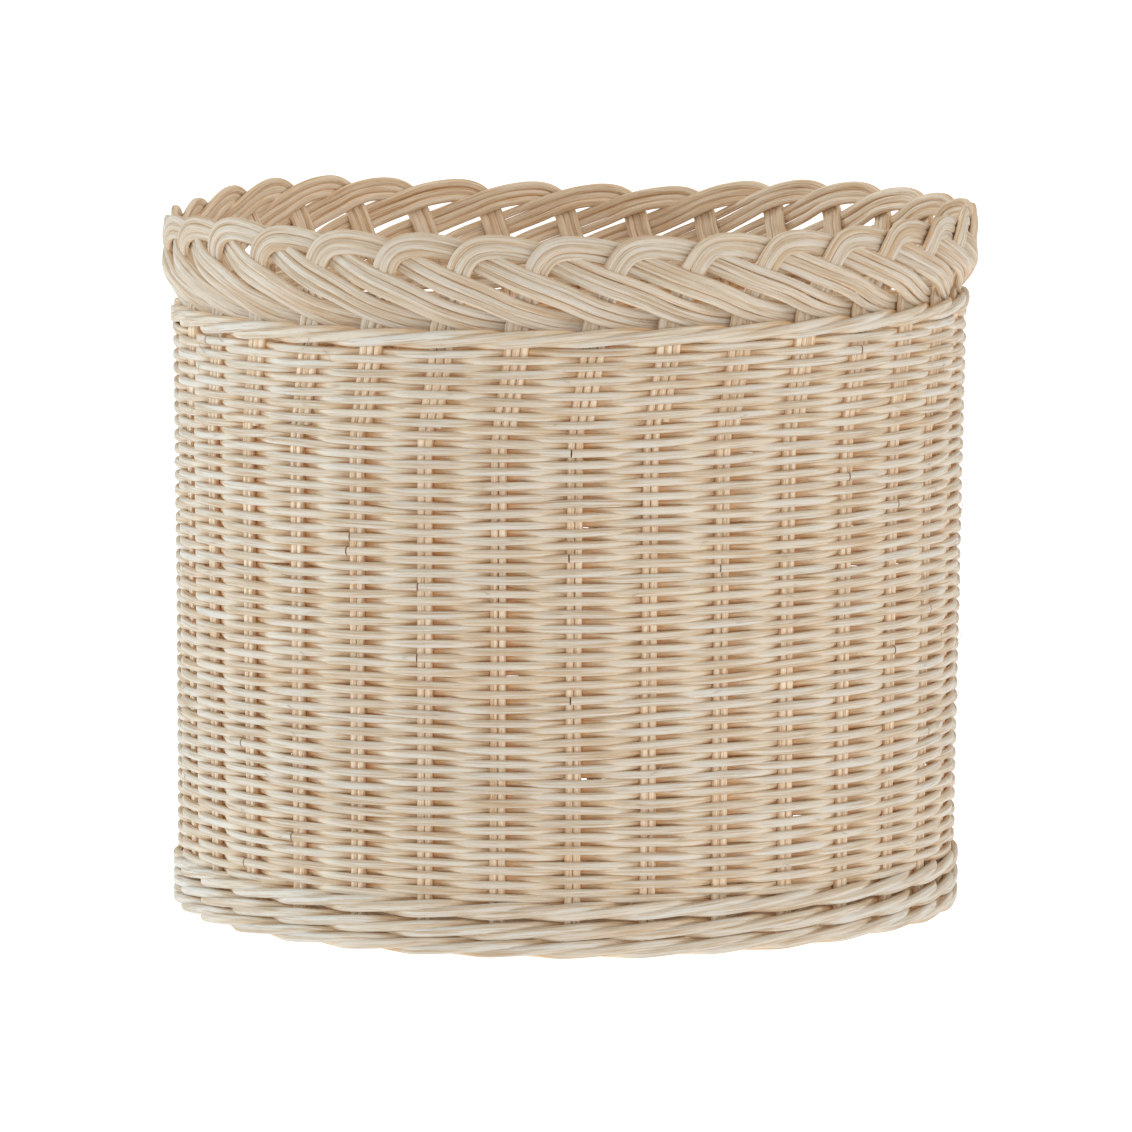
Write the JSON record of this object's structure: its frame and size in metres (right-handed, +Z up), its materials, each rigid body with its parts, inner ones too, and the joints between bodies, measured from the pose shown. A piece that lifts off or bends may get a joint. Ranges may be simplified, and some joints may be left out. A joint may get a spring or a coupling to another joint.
{
  "type": "wastebasket",
  "caption": "Round open wastebasket woven from peeled rattan rods, with a plain woven side, waled foot and a looped, braided border round the rim.",
  "frame": {"origin": "on the floor, in the middle of the round foot", "axes": "+Z up through the middle of the open mouth; -Y is the front"},
  "size_m": [0.2991, 0.299, 0.2568],
  "materials": {
    "stake_rattan": "peeled natural rattan core, matt, with fine lengthwise grain",
    "weaver_rattan": "peeled natural rattan core, matt, with fine lengthwise grain",
    "wale_rattan": "thicker peeled natural rattan core, matt, with fine lengthwise grain",
    "base_stick": "thick peeled rattan sticks, matt",
    "base_weave": "peeled natural rattan core, woven close"
  },
  "bodies": {
    "root": {"stake_group_01": "stake_rattan", "stake_group_02": "stake_rattan", "stake_group_03": "stake_rattan", "stake_group_04": "stake_rattan", "stake_group_05": "stake_rattan", "stake_group_06": "stake_rattan", "stake_group_07": "stake_rattan", "stake_group_08": "stake_rattan", "stake_group_09": "stake_rattan", "stake_group_10": "stake_rattan", "stake_group_11": "stake_rattan", "stake_group_12": "stake_rattan", "stake_group_13": "stake_rattan", "stake_group_14": "stake_rattan", "stake_group_15": "stake_rattan", "stake_group_16": "stake_rattan", "stake_group_17": "stake_rattan", "stake_group_18": "stake_rattan", "stake_group_19": "stake_rattan", "stake_group_20": "stake_rattan", "stake_group_21": "stake_rattan", "stake_group_22": "stake_rattan", "stake_group_23": "stake_rattan", "stake_group_24": "stake_rattan", "stake_group_25": "stake_rattan", "stake_group_26": "stake_rattan", "stake_group_27": "stake_rattan", "stake_group_28": "stake_rattan", "stake_group_29": "stake_rattan", "stake_group_30": "stake_rattan", "stake_group_31": "stake_rattan", "stake_group_32": "stake_rattan", "stake_group_33": "stake_rattan", "side_weaver_01": "weaver_rattan", "side_weaver_02": "weaver_rattan", "side_weaver_03": "weaver_rattan", "side_weaver_04": "weaver_rattan", "side_weaver_05": "weaver_rattan", "side_weaver_06": "weaver_rattan", "side_weaver_07": "weaver_rattan", "side_weaver_08": "weaver_rattan", "side_weaver_09": "weaver_rattan", "side_weaver_10": "weaver_rattan", "side_weaver_11": "weaver_rattan", "side_weaver_12": "weaver_rattan", "side_weaver_13": "weaver_rattan", "side_weaver_14": "weaver_rattan", "side_weaver_15": "weaver_rattan", "side_weaver_16": "weaver_rattan", "foot_wale_rod_1": "wale_rattan", "foot_wale_rod_2": "wale_rattan", "foot_wale_rod_3": "wale_rattan", "top_wale_rod_1": "wale_rattan", "top_wale_rod_2": "wale_rattan", "top_wale_rod_3": "wale_rattan", "base_sticks_lower": "base_stick", "base_sticks_upper": "base_stick", "base_weave": "base_weave"}
  },
  "joints": []
}
